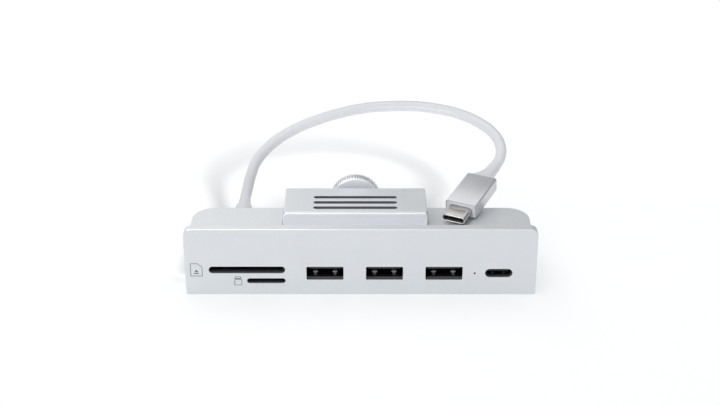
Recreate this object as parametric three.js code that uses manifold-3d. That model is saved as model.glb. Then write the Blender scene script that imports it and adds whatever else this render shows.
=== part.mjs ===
// Clamp-on USB hub: an aluminium front panel and body, a screw-driven clamp jaw
// behind the panel, and a short fixed lead that ends in a USB-C plug.
// Millimetres. +X right, +Y from the front panel to the rear, +Z up. The origin is
// on the floor under the middle of the hub, its lead left out.
import * as THREE from 'three';
import { mergeVertices } from 'three/addons/utils/BufferGeometryUtils.js';
import Module from 'manifold-3d';

const wasm = await Module();
wasm.setup();

// ---- driving dimensions ----
const SEAM = 0.1; // gap at a joint line between two fixed pieces
const FIT = 0.3; // gap round a round piece in a round hole
const FRONT_Y = -20; // front face of the panel
const fromFront = (distance) => FRONT_Y + distance;

const PANEL = { width: 118, height: 25, depth: 3.2, corner: 2.5, chamfer: 0.35 };
const BODY = { rear: fromFront(33.9), deck: 15.4, corner: 8, wall: 1.6, chamfer: 0.3 };
const COVER = { thickness: 1.2, inset: 0.2 };
const COVER_SEAT = COVER.inset + 0.6; // what the cover screws' heads press on

const CLAMP_X = -1.8; // middle of the jaw
const JAW = { width: 48.9, front: fromFront(15.9), rear: BODY.rear, bottom: 13.5, top: 23.1 };
const JAW_WALL = { front: 2, rear: 2.5, side: 2, top: 1.9 };
const JAW_GROOVE = { length: 28.8, width: 1.9, depth: 1.4, pitch: 3.9, firstY: fromFront(19.3) };
const JAW_PAD = { width: 49.4, thickness: 0.8, bottom: 15.7, top: 22.9, corner: 1.4 };
const PANEL_PAD = { width: 49.4, thickness: 0.6, bottom: 15.9, top: 23.4, corner: 1.4 };
const CHANNEL = { halfWidth: 25.2, front: fromFront(13.8), floor: 13.2, wall: 1.6 };

const SCREW_Z = 17; // axis of the clamp screw
const SCREW = { radius: 2.5, core: 2.05, pitch: 0.8, tip: fromFront(18.6) };
const WHEEL = { radius: 8.95, front: fromFront(35.9), rear: fromFront(40), chamfer: 0.7 };
const KNURL = { count: 60, depth: 0.22 };
const WHEEL_DISH = { radius: 6.2, depth: 0.4 };
const NUT_BLOCK = { halfWidth: 17, front: fromFront(24.4), rear: fromFront(28.1), top: 20.4 };
const GUIDE = { offset: 13.5, radius: 1 };

const BOARD = { left: -52.2, right: 52.2, front: fromFront(3.6), rear: fromFront(27.2) };
const BOARD_Z = { bottom: 6.8, top: 7.8 };
const USB_A = { centres: [-12, 8, 28], z: 8.2, width: 12.4, height: 4.9, depth: 14 };
const USB_A_FRONT = fromFront(1.3);
const USB_A_SHELL = { width: 13.1, height: 5.25, wall: 0.3 };
const USB_A_AXIS = USB_A.z + 0.2; // the socket sits high, so its lower lip shows in the mouth
const USB_C = { x: 46.4, z: 8.3, width: 9.15, height: 3.1, depth: 9.5 };
const USB_C_FRONT = fromFront(1.1);
const SD_SLOT = { x: -38.2, z: 9.5, width: 25.6, height: 2.5, depth: 22.4 };
const MICRO_SLOT = { x: -31.8, z: 5.3, width: 12.9, height: 1.8, depth: 14.8 };
const LED = { x: 38.3, z: 8.2, radius: 0.4 };

const COVER_SCREWS = [[-54.6, 8], [54.6, 8], [-54.6, 26.5], [54.6, 26.5]];
const BOARD_SCREWS = [[-2, 7], [38.3, 12], [-20, 25], [18, 25]];
const NUT_SCREWS = [[CLAMP_X - 6.5, 26.25], [CLAMP_X + 6.5, 26.25]];
const COVER_SCREW = { shaft: 0.8, head: 1.7, headHeight: 0.6, length: 6 };
const BOARD_SCREW = { shaft: 0.6, head: 1.5, headHeight: 0.9, length: 3.5 };
const NUT_SCREW = { shaft: 0.8, head: 1.7, headHeight: 1, length: 4.5 };
const BOSS = { cover: 2.1, board: 2 }; // radii

const GLAND = { x: -42, z: 11, flange: 3.5, radius: 3.2, bore: 2.2, tip: 2.25, end: fromFront(46.8) };
const ANCHOR = { radius: 2.6, front: BODY.rear - 6, rear: BODY.rear - 2.7 };
const CABLE_RADIUS = 2;
const PLUG = { width: 11.5, height: 5.4, length: 19.5, corner: 0.9, heading: 26, rise: 6 };
const PLUG_AT = [34.97, 7.05, 18.25]; // middle of the housing's front face
const PLUG_SHELL = { width: 8.34, height: 2.56, length: 6.65, wall: 0.3 };
const PLUG_POCKET = { depth: 1.6, wall: 0.3 }; // the nose's seat in the housing
const BOOT = { clearance: 0.25, margin: 0.15, taper: 2.2 };

// Centreline of the free lead, from the gland's end to the plug boot's end.
const CABLE_ROUTE = [
  [-42, 27.1, 11], [-42, 30, 11.2], [-41.5, 34.3, 12.6], [-40.6, 39, 15.3],
  [-38.4, 44.6, 19.1], [-33.3, 49.2, 23.4], [-26, 53.2, 27], [-17, 56.3, 29.9],
  [-7.9, 58.7, 31.9], [1.2, 60.8, 33], [10.4, 61.8, 33.4], [19.5, 61.9, 33.4],
  [28.7, 60.5, 32.9], [37.7, 57.8, 31.7], [45, 53.3, 29.9], [49.9, 47.3, 27.8],
  [51.5, 41.7, 25.7], [51.2, 38.1, 24.1], [50, 35.1, 22.8], [48.3, 32.7, 21.7],
];

// ---- materials ----
const finish = (color, roughness, metalness) =>
  new THREE.MeshStandardMaterial({ color, roughness, metalness });
const silver = () => finish(0xd4d8dc, 0.35, 1);
const steel = () => finish(0xb9bcc0, 0.25, 1);
const tin = () => finish(0xc8cacc, 0.4, 1);
const brass = () => finish(0xc8a860, 0.35, 1);
const whitePlastic = () => finish(0xf0f1f4, 0.45, 0);
const blackPlastic = () => finish(0x17181a, 0.5, 0);
const padSilicone = () => finish(0xdfe1ee, 0.4, 0);
const boardGreen = () => finish(0x1f4030, 0.6, 0);
const clear = () => finish(0xe8eef2, 0.1, 0);

// ---- shape helpers ----
function box(x0, x1, y0, y1, z0, z1) {
  const geometry = new THREE.BoxGeometry(x1 - x0, y1 - y0, z1 - z0);
  return geometry.translate((x0 + x1) / 2, (y0 + y1) / 2, (z0 + z1) / 2);
}

// A rectangle with its own radius at each corner, in the order bottom left,
// bottom right, top right, top left.
function rounded(x0, x1, y0, y1, radii) {
  const [a, b, c, d] = radii;
  const shape = new THREE.Shape();
  shape.moveTo(x0 + a, y0);
  shape.lineTo(x1 - b, y0);
  if (b) shape.absarc(x1 - b, y0 + b, b, -Math.PI / 2, 0, false);
  shape.lineTo(x1, y1 - c);
  if (c) shape.absarc(x1 - c, y1 - c, c, 0, Math.PI / 2, false);
  shape.lineTo(x0 + d, y1);
  if (d) shape.absarc(x0 + d, y1 - d, d, Math.PI / 2, Math.PI, false);
  shape.lineTo(x0, y0 + a);
  if (a) shape.absarc(x0 + a, y0 + a, a, Math.PI, Math.PI * 1.5, false);
  return shape;
}

function disc(x, y, radius) {
  const shape = new THREE.Shape();
  shape.absarc(x, y, radius, 0, Math.PI * 2, false);
  return shape;
}

// Extrudes a shape along +Z, with a chamfer at both ends.
function extrude(shape, length, chamfer = 0, curveSegments = 4) {
  return new THREE.ExtrudeGeometry(shape, {
    depth: length - 2 * chamfer,
    curveSegments,
    steps: 1,
    bevelEnabled: chamfer > 0,
    bevelThickness: chamfer,
    bevelSize: chamfer,
    bevelOffset: -chamfer,
    bevelSegments: 1,
  }).translate(0, 0, chamfer);
}

const upright = (shape, z0, z1, chamfer, segments) =>
  extrude(shape, z1 - z0, chamfer, segments).translate(0, 0, z0);

// The shape's second coordinate becomes Z, and it runs from y0 to y1.
const rearward = (shape, y0, y1, chamfer, segments) =>
  extrude(shape, y1 - y0, chamfer, segments).rotateX(Math.PI / 2).translate(0, y1, 0);

// A turned solid on the Y axis through (x, z), from [radius, y] points.
function turned(profile, x, z, segments = 20) {
  const points = profile.map(([radius, y]) => new THREE.Vector2(radius, y));
  return new THREE.LatheGeometry(points, segments).translate(x, 0, z);
}

const rod = (x, z, radius, y0, y1, segments = 16) =>
  new THREE.CylinderGeometry(radius, radius, y1 - y0, segments).translate(x, (y0 + y1) / 2, z);

const post = (x, y, radius, z0, z1, segments = 16) =>
  new THREE.CylinderGeometry(radius, radius, z1 - z0, segments)
    .rotateX(Math.PI / 2).translate(x, y, (z0 + z1) / 2);

function solid(geometry) {
  let bare = geometry.clone();
  bare.deleteAttribute('normal');
  bare.deleteAttribute('uv');
  bare = mergeVertices(bare, 1e-5);
  const vertProperties = new Float32Array(bare.attributes.position.array);
  const triVerts = new Uint32Array(bare.index.array);
  return new wasm.Manifold(new wasm.Mesh({ numProp: 3, vertProperties, triVerts }));
}

function geometryOf(manifold) {
  const mesh = manifold.getMesh();
  const geometry = new THREE.BufferGeometry();
  geometry.setAttribute('position', new THREE.BufferAttribute(mesh.vertProperties, 3));
  geometry.setIndex(new THREE.BufferAttribute(mesh.triVerts, 1));
  return geometry;
}

// Joins the added geometries to the first, then cuts the removed ones away.
function shaped(base, added, removed) {
  let result = solid(base);
  for (const piece of added) result = result.add(solid(piece));
  for (const piece of removed) result = result.subtract(solid(piece));
  return geometryOf(result);
}

const hub = new THREE.Group();
function piece(name, geometry, material, parent = hub) {
  const mesh = new THREE.Mesh(geometry, material);
  mesh.name = name;
  parent.add(mesh);
}

const around = (centre, size, extra = 0) => [
  centre - size / 2 - extra,
  centre + size / 2 + extra,
];

// A slot's outline round a centre; its ends stay a touch short of full half circles.
function stadium(x, y, width, height) {
  const r = height / 2 - 0.02;
  return rounded(...around(x, width), ...around(y, height), [r, r, r, r]);
}

// ---- casing ----
const panelRear = FRONT_Y + PANEL.depth;

function frontPanel() {
  const half = PANEL.width / 2;
  const radii = [0.4, 0.4, PANEL.corner, PANEL.corner];
  const outline = rounded(-half, half, 0, PANEL.height, radii);
  const slab = rearward(outline, FRONT_Y, panelRear, PANEL.chamfer, 6);
  const through = [FRONT_Y - 1, panelRear + 1];
  const cuts = [SD_SLOT, MICRO_SLOT, USB_C].map(({ x, z, width, height }) =>
    rearward(stadium(x, z, width, height), ...through, 0, 6));
  cuts.push(rod(LED.x, LED.z, LED.radius, ...through, 12));
  for (const x of USB_A.centres) {
    const [left, right] = around(x, USB_A.width);
    const [low, high] = around(USB_A.z, USB_A.height);
    cuts.push(rearward(rounded(left, right, low, high, [0.3, 0.3, 0.3, 0.3]), ...through, 0, 2));
    cuts.push(box(
      ...around(x, USB_A_SHELL.width, FIT), USB_A_FRONT - SEAM, panelRear + 1,
      ...around(USB_A_AXIS, USB_A_SHELL.height, FIT),
    ));
  }
  cuts.push(box(
    ...around(USB_C.x, USB_C.width, 0.6), USB_C_FRONT - SEAM, panelRear + 1,
    ...around(USB_C.z, USB_C.height, 0.6),
  ));
  return shaped(slab, [], cuts);
}

// The body's outline from above; an inset one runs on under the panel.
const bodyPlan = (inset) => rounded(
  -PANEL.width / 2 + inset, PANEL.width / 2 - inset,
  inset ? panelRear - 1 : panelRear + SEAM, BODY.rear - inset,
  [0, 0, BODY.corner - inset, BODY.corner - inset],
);

function bodyShell() {
  const underside = BODY.deck - BODY.wall;
  const trayEdge = CHANNEL.halfWidth + CHANNEL.wall;
  const bossTop = underside + 0.5;
  const added = [box(
    CLAMP_X - trayEdge, CLAMP_X + trayEdge, CHANNEL.front - CHANNEL.wall, BODY.rear - 0.5,
    CHANNEL.floor - CHANNEL.wall, BODY.deck - 0.5,
  )];
  const removed = [
    box(
      CLAMP_X - CHANNEL.halfWidth, CLAMP_X + CHANNEL.halfWidth, CHANNEL.front, BODY.rear + 1,
      CHANNEL.floor, BODY.deck + 1,
    ),
    rod(GLAND.x, GLAND.z, GLAND.bore + FIT, BODY.rear - 4, BODY.rear + 1, 20),
  ];
  for (const [x, y] of COVER_SCREWS) {
    const seat = COVER.inset + COVER.thickness + SEAM;
    added.push(post(x, fromFront(y), BOSS.cover, seat, bossTop));
    removed.push(post(x, fromFront(y), COVER_SCREW.shaft + FIT, -1, 8, 12));
  }
  for (const [x, y] of BOARD_SCREWS) {
    added.push(post(x, fromFront(y), BOSS.board, BOARD_Z.top + SEAM, bossTop));
    removed.push(post(x, fromFront(y), BOARD_SCREW.shaft + FIT, 0, BOARD_Z.top + 3, 12));
  }
  for (const [x, y] of NUT_SCREWS) {
    removed.push(post(x, fromFront(y), NUT_SCREW.shaft + FIT, 10, 14, 12));
  }
  const outer = upright(bodyPlan(0), 0, BODY.deck, BODY.chamfer, 8);
  const cavity = upright(bodyPlan(BODY.wall), -1, underside, 0, 8);
  return shaped(shaped(outer, [], [cavity]), added, removed);
}

function bottomCover() {
  const plan = bodyPlan(BODY.wall + SEAM);
  const plate = upright(plan, COVER.inset, COVER.inset + COVER.thickness, 0, 8);
  const trim = box(-60, 60, panelRear - 3, panelRear + SEAM, -1, 3);
  const holes = COVER_SCREWS.flatMap(([x, y]) => [
    post(x, fromFront(y), COVER_SCREW.shaft + FIT, -1, 3, 12),
    post(x, fromFront(y), COVER_SCREW.head + FIT, -1, COVER_SEAT, 16),
  ]);
  return shaped(plate, [], [trim, ...holes]);
}

// A pan-head screw that points up, with a cross recess. seat is its head's top face.
function panScrew(x, y, seat, { shaft, head, headHeight, length }) {
  const face = seat - headHeight;
  const cap = post(x, y, head, face, seat, 16);
  const stem = post(x, y, shaft, seat - 0.2, seat + length, 12);
  const recess = [
    box(x - 0.9, x + 0.9, y - 0.18, y + 0.18, face - 1, face + headHeight / 2),
    box(x - 0.18, x + 0.18, y - 0.9, y + 0.9, face - 1, face + headHeight / 2),
  ];
  return shaped(cap, [stem], recess);
}

piece('front_panel', frontPanel(), silver());
piece('body_shell', bodyShell(), silver());
piece('bottom_cover', bottomCover(), silver());
COVER_SCREWS.forEach(([x, y], i) => {
  const screw = panScrew(x, fromFront(y), COVER_SEAT - SEAM, COVER_SCREW);
  piece(`cover_screw_${i + 1}`, screw, steel());
});

function facePad(pad, y0) {
  const radii = [0.3, 0.3, pad.corner, pad.corner];
  const outline = rounded(...around(CLAMP_X, pad.width), pad.bottom, pad.top, radii);
  return rearward(outline, y0, y0 + pad.thickness, 0.2, 5);
}
piece('panel_pad', facePad(PANEL_PAD, panelRear + SEAM / 2), padSilicone());

// ---- clamp ----
function nutBlock() {
  const { halfWidth, front, rear, top } = NUT_BLOCK;
  const through = [front - 1, rear + 1];
  const plan = rounded(CLAMP_X - halfWidth, CLAMP_X + halfWidth, front, rear, [1, 1, 1, 1]);
  const block = upright(plan, CHANNEL.floor + SEAM, top, 0.3, 3);
  const cuts = [rod(CLAMP_X, SCREW_Z, SCREW.radius + FIT, ...through, 20)];
  for (const side of [-1, 1]) {
    const x = CLAMP_X + side * GUIDE.offset;
    cuts.push(rod(x, SCREW_Z, GUIDE.radius + FIT, ...through, 16));
  }
  for (const [x, y] of NUT_SCREWS) {
    const [low, high] = [CHANNEL.floor - 1, CHANNEL.floor + 5];
    cuts.push(post(x, fromFront(y), NUT_SCREW.shaft + FIT, low, high, 12));
  }
  return shaped(block, [], cuts);
}

function jaw() {
  const half = JAW.width / 2;
  const [left, right] = [CLAMP_X - half, CLAMP_X + half];
  const plan = rounded(left, right, JAW.front, JAW.rear, [0.5, 0.5, 0.8, 0.8]);
  const block = upright(plan, JAW.bottom, JAW.top, 0.25, 3);
  const hollow = box(
    left + JAW_WALL.side, right - JAW_WALL.side, JAW.front + JAW_WALL.front,
    JAW.rear - JAW_WALL.rear, JAW.bottom - 1, JAW.top - JAW_WALL.top,
  );
  const cuts = [hollow, rod(CLAMP_X, SCREW_Z, SCREW.radius + FIT, JAW.rear - 4, JAW.rear + 1, 20)];
  for (const side of [-1, 1]) {
    const x = CLAMP_X + side * GUIDE.offset;
    cuts.push(rod(x, SCREW_Z, GUIDE.radius + SEAM, JAW.rear - 4, JAW.rear - 1, 16));
  }
  for (let i = 0; i < 3; i += 1) {
    const y = JAW_GROOVE.firstY + i * JAW_GROOVE.pitch;
    const outline = stadium(CLAMP_X, y, JAW_GROOVE.length, JAW_GROOVE.width);
    cuts.push(upright(outline, JAW.top - JAW_GROOVE.depth, JAW.top + 1, 0, 4));
  }
  return shaped(block, [], cuts);
}

// The screw is captive in the jaw's rear wall, between its shoulder and the clip.
const jawInside = JAW.rear - JAW_WALL.rear;
const CLIP = { radius: 3.4, y0: jawInside - 1.1, y1: jawInside - 0.3 };
const SHOULDER = 3.6;
const SCREW_GROOVE = 1.7;

function leadScrew() {
  const profile = [[0, SCREW.tip], [SCREW.core, SCREW.tip]];
  const threadEnd = CLIP.y0 - 0.8;
  for (let y = SCREW.tip + SCREW.pitch / 2; y < threadEnd; y += SCREW.pitch) {
    profile.push([SCREW.radius, y], [SCREW.core, y + SCREW.pitch / 2]);
  }
  profile.push(
    [SCREW.radius, threadEnd + 0.4], [SCREW.radius, CLIP.y0 - 0.1], [SCREW_GROOVE, CLIP.y0 - 0.1],
    [SCREW_GROOVE, CLIP.y1 + 0.1], [SCREW.radius, CLIP.y1 + 0.1], [SCREW.radius, JAW.rear + 0.2],
    [SHOULDER, JAW.rear + 0.2], [SHOULDER, WHEEL.front - SEAM],
    [SCREW.radius, WHEEL.front - SEAM], [SCREW.radius, WHEEL.rear - 1.4], [0, WHEEL.rear - 1.4],
  );
  return turned(profile, CLAMP_X, SCREW_Z, 20);
}

function thumbWheel() {
  const outline = new THREE.Shape();
  for (let i = 0; i < KNURL.count * 2; i += 1) {
    const angle = (i * Math.PI) / KNURL.count;
    const radius = WHEEL.radius - (i % 2) * KNURL.depth;
    const x = CLAMP_X + radius * Math.cos(angle);
    const z = SCREW_Z + radius * Math.sin(angle);
    if (i === 0) outline.moveTo(x, z);
    else outline.lineTo(x, z);
  }
  const disk = rearward(outline, WHEEL.front, WHEEL.rear, WHEEL.chamfer, 1);
  const socket = rod(CLAMP_X, SCREW_Z, SCREW.radius + FIT, WHEEL.front - 1, WHEEL.rear - 1.1, 20);
  const dishFloor = WHEEL.rear - WHEEL_DISH.depth;
  const dish = rod(CLAMP_X, SCREW_Z, WHEEL_DISH.radius, dishFloor, WHEEL.rear + 1, 32);
  return shaped(disk, [], [socket, dish]);
}

// An open spring clip in the screw's groove.
function retainingClip() {
  const through = [CLIP.y0 - 1, CLIP.y1 + 1];
  const ring = rod(CLAMP_X, SCREW_Z, CLIP.radius, CLIP.y0, CLIP.y1, 24);
  const bore = rod(CLAMP_X, SCREW_Z, SCREW_GROOVE + FIT, ...through, 16);
  const mouth = box(...around(CLAMP_X, 3), ...through, SCREW_Z - CLIP.radius - 1, SCREW_Z);
  return shaped(ring, [], [bore, mouth]);
}

piece('nut_block', nutBlock(), brass());
NUT_SCREWS.forEach(([x, y], i) => {
  const seat = CHANNEL.floor - CHANNEL.wall - SEAM;
  piece(`nut_block_screw_${i + 1}`, panScrew(x, fromFront(y), seat, NUT_SCREW), steel());
});
piece('jaw', jaw(), silver());
piece('jaw_pad', facePad(JAW_PAD, JAW.front - JAW_PAD.thickness - SEAM / 2), padSilicone());
['left', 'right'].forEach((name, i) => {
  const x = CLAMP_X + (i ? 1 : -1) * GUIDE.offset;
  piece(`guide_pin_${name}`, rod(x, SCREW_Z, GUIDE.radius, JAW.front + 2.6, JAW.rear - 1.2), steel());
});
piece('lead_screw', leadScrew(), steel());
piece('retaining_clip', retainingClip(), steel());
piece('thumb_wheel', thumbWheel(), silver());

// ---- board and sockets ----
function mainBoard() {
  const plan = rounded(BOARD.left, BOARD.right, BOARD.front, BOARD.rear, [0, 0, 1, 1]);
  const plate = upright(plan, BOARD_Z.bottom, BOARD_Z.top, 0, 2);
  const cuts = USB_A.centres.map((x) => box(
    ...around(x, USB_A_SHELL.width, FIT), BOARD.front - 1, USB_A_FRONT + USB_A.depth + FIT, 5, 10,
  ));
  cuts.push(box(
    ...around(USB_C.x, USB_C.width, FIT), BOARD.front - 1, USB_C_FRONT + USB_C.depth + FIT, 5, 10,
  ));
  for (const [x, y] of BOARD_SCREWS) {
    cuts.push(post(x, fromFront(y), BOARD_SCREW.shaft + FIT, 5, 10, 12));
  }
  return shaped(plate, [], cuts);
}

function usbAShell(x) {
  const { width, height, wall } = USB_A_SHELL;
  const rear = USB_A_FRONT + USB_A.depth;
  const outer = box(...around(x, width), USB_A_FRONT, rear, ...around(USB_A_AXIS, height));
  const inner = box(
    ...around(x, width - 2 * wall), USB_A_FRONT - 1, rear - wall,
    ...around(USB_A_AXIS, height - 2 * wall),
  );
  return shaped(outer, [], [inner]);
}

// The contact carrier: a rear block with the tongue in the upper half of the mouth.
function usbATongue(x) {
  const rear = USB_A_FRONT + USB_A.depth - USB_A_SHELL.wall - SEAM;
  const inside = USB_A_SHELL.height / 2 - USB_A_SHELL.wall - SEAM;
  const block = box(...around(x, 12.2), rear - 4, rear, ...around(USB_A_AXIS, 2 * inside));
  const [low, high] = [USB_A_AXIS - 0.1, USB_A_AXIS + 1.75];
  const tongue = box(...around(x, 11.1), fromFront(2.6), rear - 3.5, low, high);
  return shaped(block, [tongue], []);
}

function usbCShell() {
  const rear = USB_C_FRONT + USB_C.depth;
  const outline = stadium(USB_C.x, USB_C.z, USB_C.width, USB_C.height + 0.1);
  const outer = rearward(outline, USB_C_FRONT, rear, 0, 6);
  const bore = rearward(stadium(USB_C.x, USB_C.z, 8.45, 2.6), USB_C_FRONT - 1, rear - 0.3, 0, 6);
  return shaped(outer, [], [bore]);
}

function usbCTongue() {
  const rear = USB_C_FRONT + USB_C.depth - 0.4;
  const block = box(...around(USB_C.x, 6.8), rear - 2.5, rear, ...around(USB_C.z, 2.2));
  const tongue = box(...around(USB_C.x, 6.7), fromFront(1.9), rear - 2, ...around(USB_C.z, 0.7));
  return shaped(block, [tongue], []);
}

// A card socket: a plastic tray with side rails and a rear stop, open at the front.
function cardTray(slot, z0, floor, z1) {
  const front = panelRear + FIT;
  const outer = box(...around(slot.x, slot.width, 0.8), front, front + slot.depth, z0, z1);
  const stop = front + slot.depth - 1.5;
  const inner = box(...around(slot.x, slot.width, -0.2), front - 1, stop, floor, z1 + 1);
  return shaped(outer, [], [inner]);
}

function cardLid(slot, z0, z1) {
  const front = panelRear + FIT;
  return box(...around(slot.x, slot.width, 0.8), front, front + slot.depth, z0, z1);
}

piece('main_board', mainBoard(), boardGreen());
BOARD_SCREWS.forEach(([x, y], i) => {
  const screw = panScrew(x, fromFront(y), BOARD_Z.bottom - SEAM, BOARD_SCREW);
  piece(`board_screw_${i + 1}`, screw, steel());
});
USB_A.centres.forEach((x, i) => {
  piece(`usb_a_shell_${i + 1}`, usbAShell(x), tin());
  piece(`usb_a_tongue_${i + 1}`, usbATongue(x), blackPlastic());
});
piece('usb_c_shell', usbCShell(), tin());
piece('usb_c_tongue', usbCTongue(), blackPlastic());
piece('sd_socket_tray', cardTray(SD_SLOT, 7.9, 8.2, 10.8), blackPlastic());
piece('sd_socket_lid', cardLid(SD_SLOT, 10.9, 11.2), tin());
piece('microsd_socket_tray', cardTray(MICRO_SLOT, 4.1, 4.5, 6.3), blackPlastic());
piece('microsd_socket_lid', cardLid(MICRO_SLOT, 6.4, 6.7), tin());

const onBoard = (x, y, width, length, height) => {
  const z = BOARD_Z.top + SEAM / 2;
  return box(...around(x, width), ...around(fromFront(y), length), z, z + height);
};
piece('hub_chip', onBoard(0, 19.5, 8, 8, 0.9), blackPlastic());
piece('power_inductor', onBoard(36, 20, 4, 4, 2), blackPlastic());
piece('crystal', onBoard(8.5, 19.5, 3.2, 2.5, 0.8), tin());
const underBoard = box(...around(-40, 6), ...around(fromFront(22.5), 6), 5.85, 6.75);
piece('card_reader_chip', underBoard, blackPlastic());
piece('status_led', onBoard(LED.x, 4.6, 1.6, 0.8, 0.8), clear());
const lightPipe = rod(LED.x, LED.z, LED.radius - 0.05, fromFront(0.15), fromFront(4), 12);
piece('light_pipe', lightPipe, clear());

// ---- lead ----
// A round flange outside the wall, a convex shoulder, and a thin collar on the lead.
function cableGland() {
  const inner = BODY.rear - BODY.wall;
  const { flange, radius, bore, tip, end } = GLAND;
  const profile = [
    [0, inner - 1], [2.7, inner - 1], [2.7, inner - SEAM], [bore, inner - SEAM],
    [bore, BODY.rear + SEAM], [flange, BODY.rear + SEAM], [radius, BODY.rear + 1.5],
    [radius, BODY.rear + 6.3], [radius - 0.25, BODY.rear + 7.6], [radius - 0.6, BODY.rear + 8.5],
    [tip, BODY.rear + 9.3], [tip, end], [0, end],
  ];
  return turned(profile, GLAND.x, GLAND.z, 24);
}

function cableTube() {
  const route = new THREE.CatmullRomCurve3(
    CABLE_ROUTE.map((point) => new THREE.Vector3(...point)), false, 'centripetal',
  );
  return new THREE.ExtrudeGeometry(disc(0, 0, CABLE_RADIUS), {
    steps: 30, curveSegments: 5, bevelEnabled: false, extrudePath: route,
  });
}

piece('cable_gland', cableGland(), whitePlastic());
const anchor = rod(GLAND.x, GLAND.z, ANCHOR.radius, ANCHOR.front, ANCHOR.rear, 16);
piece('cable_anchor', anchor, steel());
piece('cable', cableTube(), whitePlastic());

// The plug's own frame: its axis along +Y, away from the mouth, with the origin in
// the middle of the housing's front face.
const plug = new THREE.Group();
plug.position.set(...PLUG_AT);
const { degToRad } = THREE.MathUtils;
plug.rotation.set(degToRad(PLUG.rise), 0, degToRad(-PLUG.heading), 'ZYX');
hub.add(plug);

const plugOutline = (inset, corner) => rounded(
  ...around(0, PLUG.width - 2 * inset), ...around(0, PLUG.height - 2 * inset),
  [corner, corner, corner, corner],
);

function plugHousing() {
  const tube = rearward(plugOutline(0, PLUG.corner), 0, PLUG.length, 0.15, 4);
  const seat = plugOutline(PLUG_POCKET.wall, PLUG.corner - PLUG_POCKET.wall);
  const pocket = rearward(seat, -1, PLUG_POCKET.depth, 0, 4);
  return shaped(tube, [], [pocket]);
}

function plugNose() {
  const inset = PLUG_POCKET.wall + SEAM;
  const nose = rearward(plugOutline(inset, PLUG.corner - inset), 0, PLUG_POCKET.depth - SEAM, 0, 4);
  const { width, height } = PLUG_SHELL;
  const hole = rearward(stadium(0, 0, width + 0.2, height + 0.2), -1, 3, 0, 6);
  return shaped(nose, [], [hole]);
}

function plugShell() {
  const { width, height, length, wall } = PLUG_SHELL;
  const outer = rearward(stadium(0, 0, width, height), -length, 1.5, 0.08, 6);
  const bore = rearward(stadium(0, 0, width - 2 * wall, height - 2 * wall), -length - 1, 1.2, 0, 6);
  return shaped(outer, [], [bore]);
}

// Two rows of contacts face a slot that the socket's tongue enters.
function plugContacts() {
  const { length, wall, width, height } = PLUG_SHELL;
  const outline = stadium(0, 0, width - 2 * wall - 0.2, height - 2 * wall - 0.2);
  const carrier = rearward(outline, -length + 0.6, 1.1, 0, 6);
  return shaped(carrier, [], [box(-3.4, 3.4, -length - 1, 0.2, -0.45, 0.45)]);
}

piece('plug_housing', plugHousing(), silver(), plug);
piece('plug_nose', plugNose(), whitePlastic(), plug);
piece('plug_shell', plugShell(), steel(), plug);
piece('plug_contacts', plugContacts(), blackPlastic(), plug);

// The boot runs from the housing's rear face to the lead, in the hub's frame. Its
// sections turn from the housing's outline into the lead's round one.
function plugBoot() {
  const rows = 9;
  const ring = 20;
  const thin = CABLE_RADIUS + BOOT.clearance;
  plug.updateMatrixWorld(true);
  const start = new THREE.Vector3(0, PLUG.length + SEAM, 0).applyMatrix4(plug.matrix);
  const last = new THREE.Vector3(...CABLE_ROUTE.at(-1));
  const before = new THREE.Vector3(...CABLE_ROUTE.at(-2));
  const axis = new THREE.Vector3(0, 1, 0).transformDirection(plug.matrix);
  const leave = last.clone().sub(before).normalize();
  const end = last.clone().addScaledVector(leave, FIT);
  const reach = start.distanceTo(end) / 3;
  const spine = new THREE.CubicBezierCurve3(
    start, start.clone().addScaledVector(axis, reach), end.clone().addScaledVector(leave, reach), end,
  );
  const side = new THREE.Vector3(1, 0, 0).transformDirection(plug.matrix);
  const positions = [];
  for (let row = 0; row <= rows; row += 1) {
    const t = row / rows;
    const centre = spine.getPoint(t);
    const tangent = spine.getTangent(t);
    const up = new THREE.Vector3().crossVectors(side, tangent).normalize();
    const right = new THREE.Vector3().crossVectors(tangent, up);
    const shrink = (1 - t) ** BOOT.taper;
    const [halfWidth, halfHeight] = [PLUG.width, PLUG.height].map((size) =>
      thin + (size / 2 - BOOT.margin - thin) * shrink);
    const power = 1 - 0.55 * shrink;
    for (let k = 0; k < ring; k += 1) {
      const angle = (k / ring) * Math.PI * 2;
      const bulge = (value) => Math.sign(value) * Math.abs(value) ** power;
      const point = centre.clone()
        .addScaledVector(right, halfWidth * bulge(Math.cos(angle)))
        .addScaledVector(up, halfHeight * bulge(Math.sin(angle)));
      positions.push(...point.toArray());
    }
  }
  positions.push(...start.toArray(), ...end.toArray());
  const [startPole, endPole] = [(rows + 1) * ring, (rows + 1) * ring + 1];
  const faces = [];
  for (let k = 0; k < ring; k += 1) {
    const next = (k + 1) % ring;
    faces.push(startPole, k, next, endPole, rows * ring + next, rows * ring + k);
    for (let row = 0; row < rows; row += 1) {
      const [a, b] = [row * ring + k, row * ring + next];
      const [c, d] = [a + ring, b + ring];
      faces.push(a, d, b, a, c, d);
    }
  }
  const geometry = new THREE.BufferGeometry();
  geometry.setAttribute('position', new THREE.Float32BufferAttribute(positions, 3));
  geometry.setIndex(faces);
  return geometry;
}
piece('plug_boot', plugBoot(), whitePlastic());

export default hub;
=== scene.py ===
"""Looks for a clamp-on USB hub with a short fixed lead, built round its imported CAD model.

Shapes are worked out in millimetres and scaled by MM as they become meshes.
"""

import math

import bmesh
import bpy
from mathutils import Euler, Matrix, Vector
from mathutils.geometry import tessellate_polygon


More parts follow.
